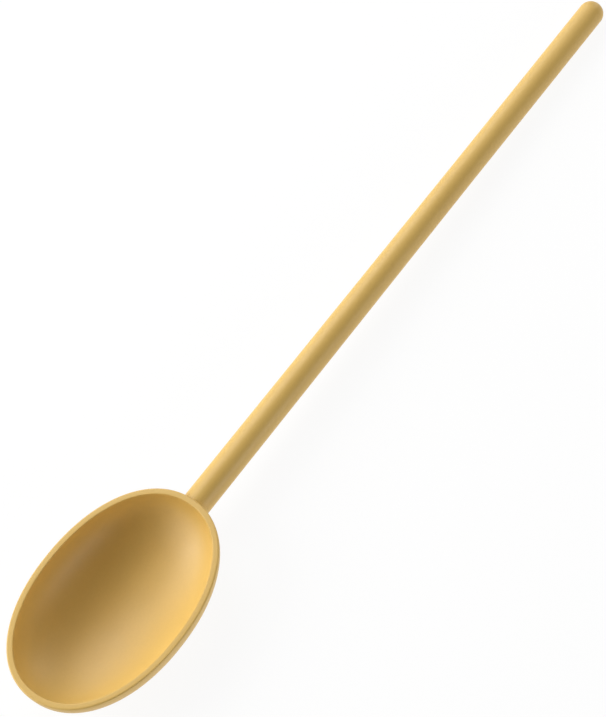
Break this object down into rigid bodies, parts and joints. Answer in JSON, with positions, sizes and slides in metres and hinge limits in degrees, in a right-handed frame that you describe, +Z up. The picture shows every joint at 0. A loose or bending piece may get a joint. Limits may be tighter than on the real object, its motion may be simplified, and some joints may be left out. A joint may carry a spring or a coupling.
{
  "type": "cooking spoon",
  "caption": "Long-handled cooking spoon with a deep oval bowl, a flat rim and a round handle that ends in a dome.",
  "frame": {"origin": "on the table, under the middle of the whole spoon's length, in its symmetry plane", "axes": "+X from the bowl towards the end of the handle, +Z up from the table, +Y to the left; the spoon lies in its resting pose, on the bowl's underside and the end of the handle, so its rim and handle slope down towards +X by 1.9 degrees"},
  "size_m": [0.3796, 0.066, 0.0247],
  "materials": {
    "tan_plastic": "satin"
  },
  "bodies": {
    "root": {"bowl": "tan_plastic", "handle_tube": "tan_plastic", "handle_end_cap": "tan_plastic"}
  },
  "joints": []
}
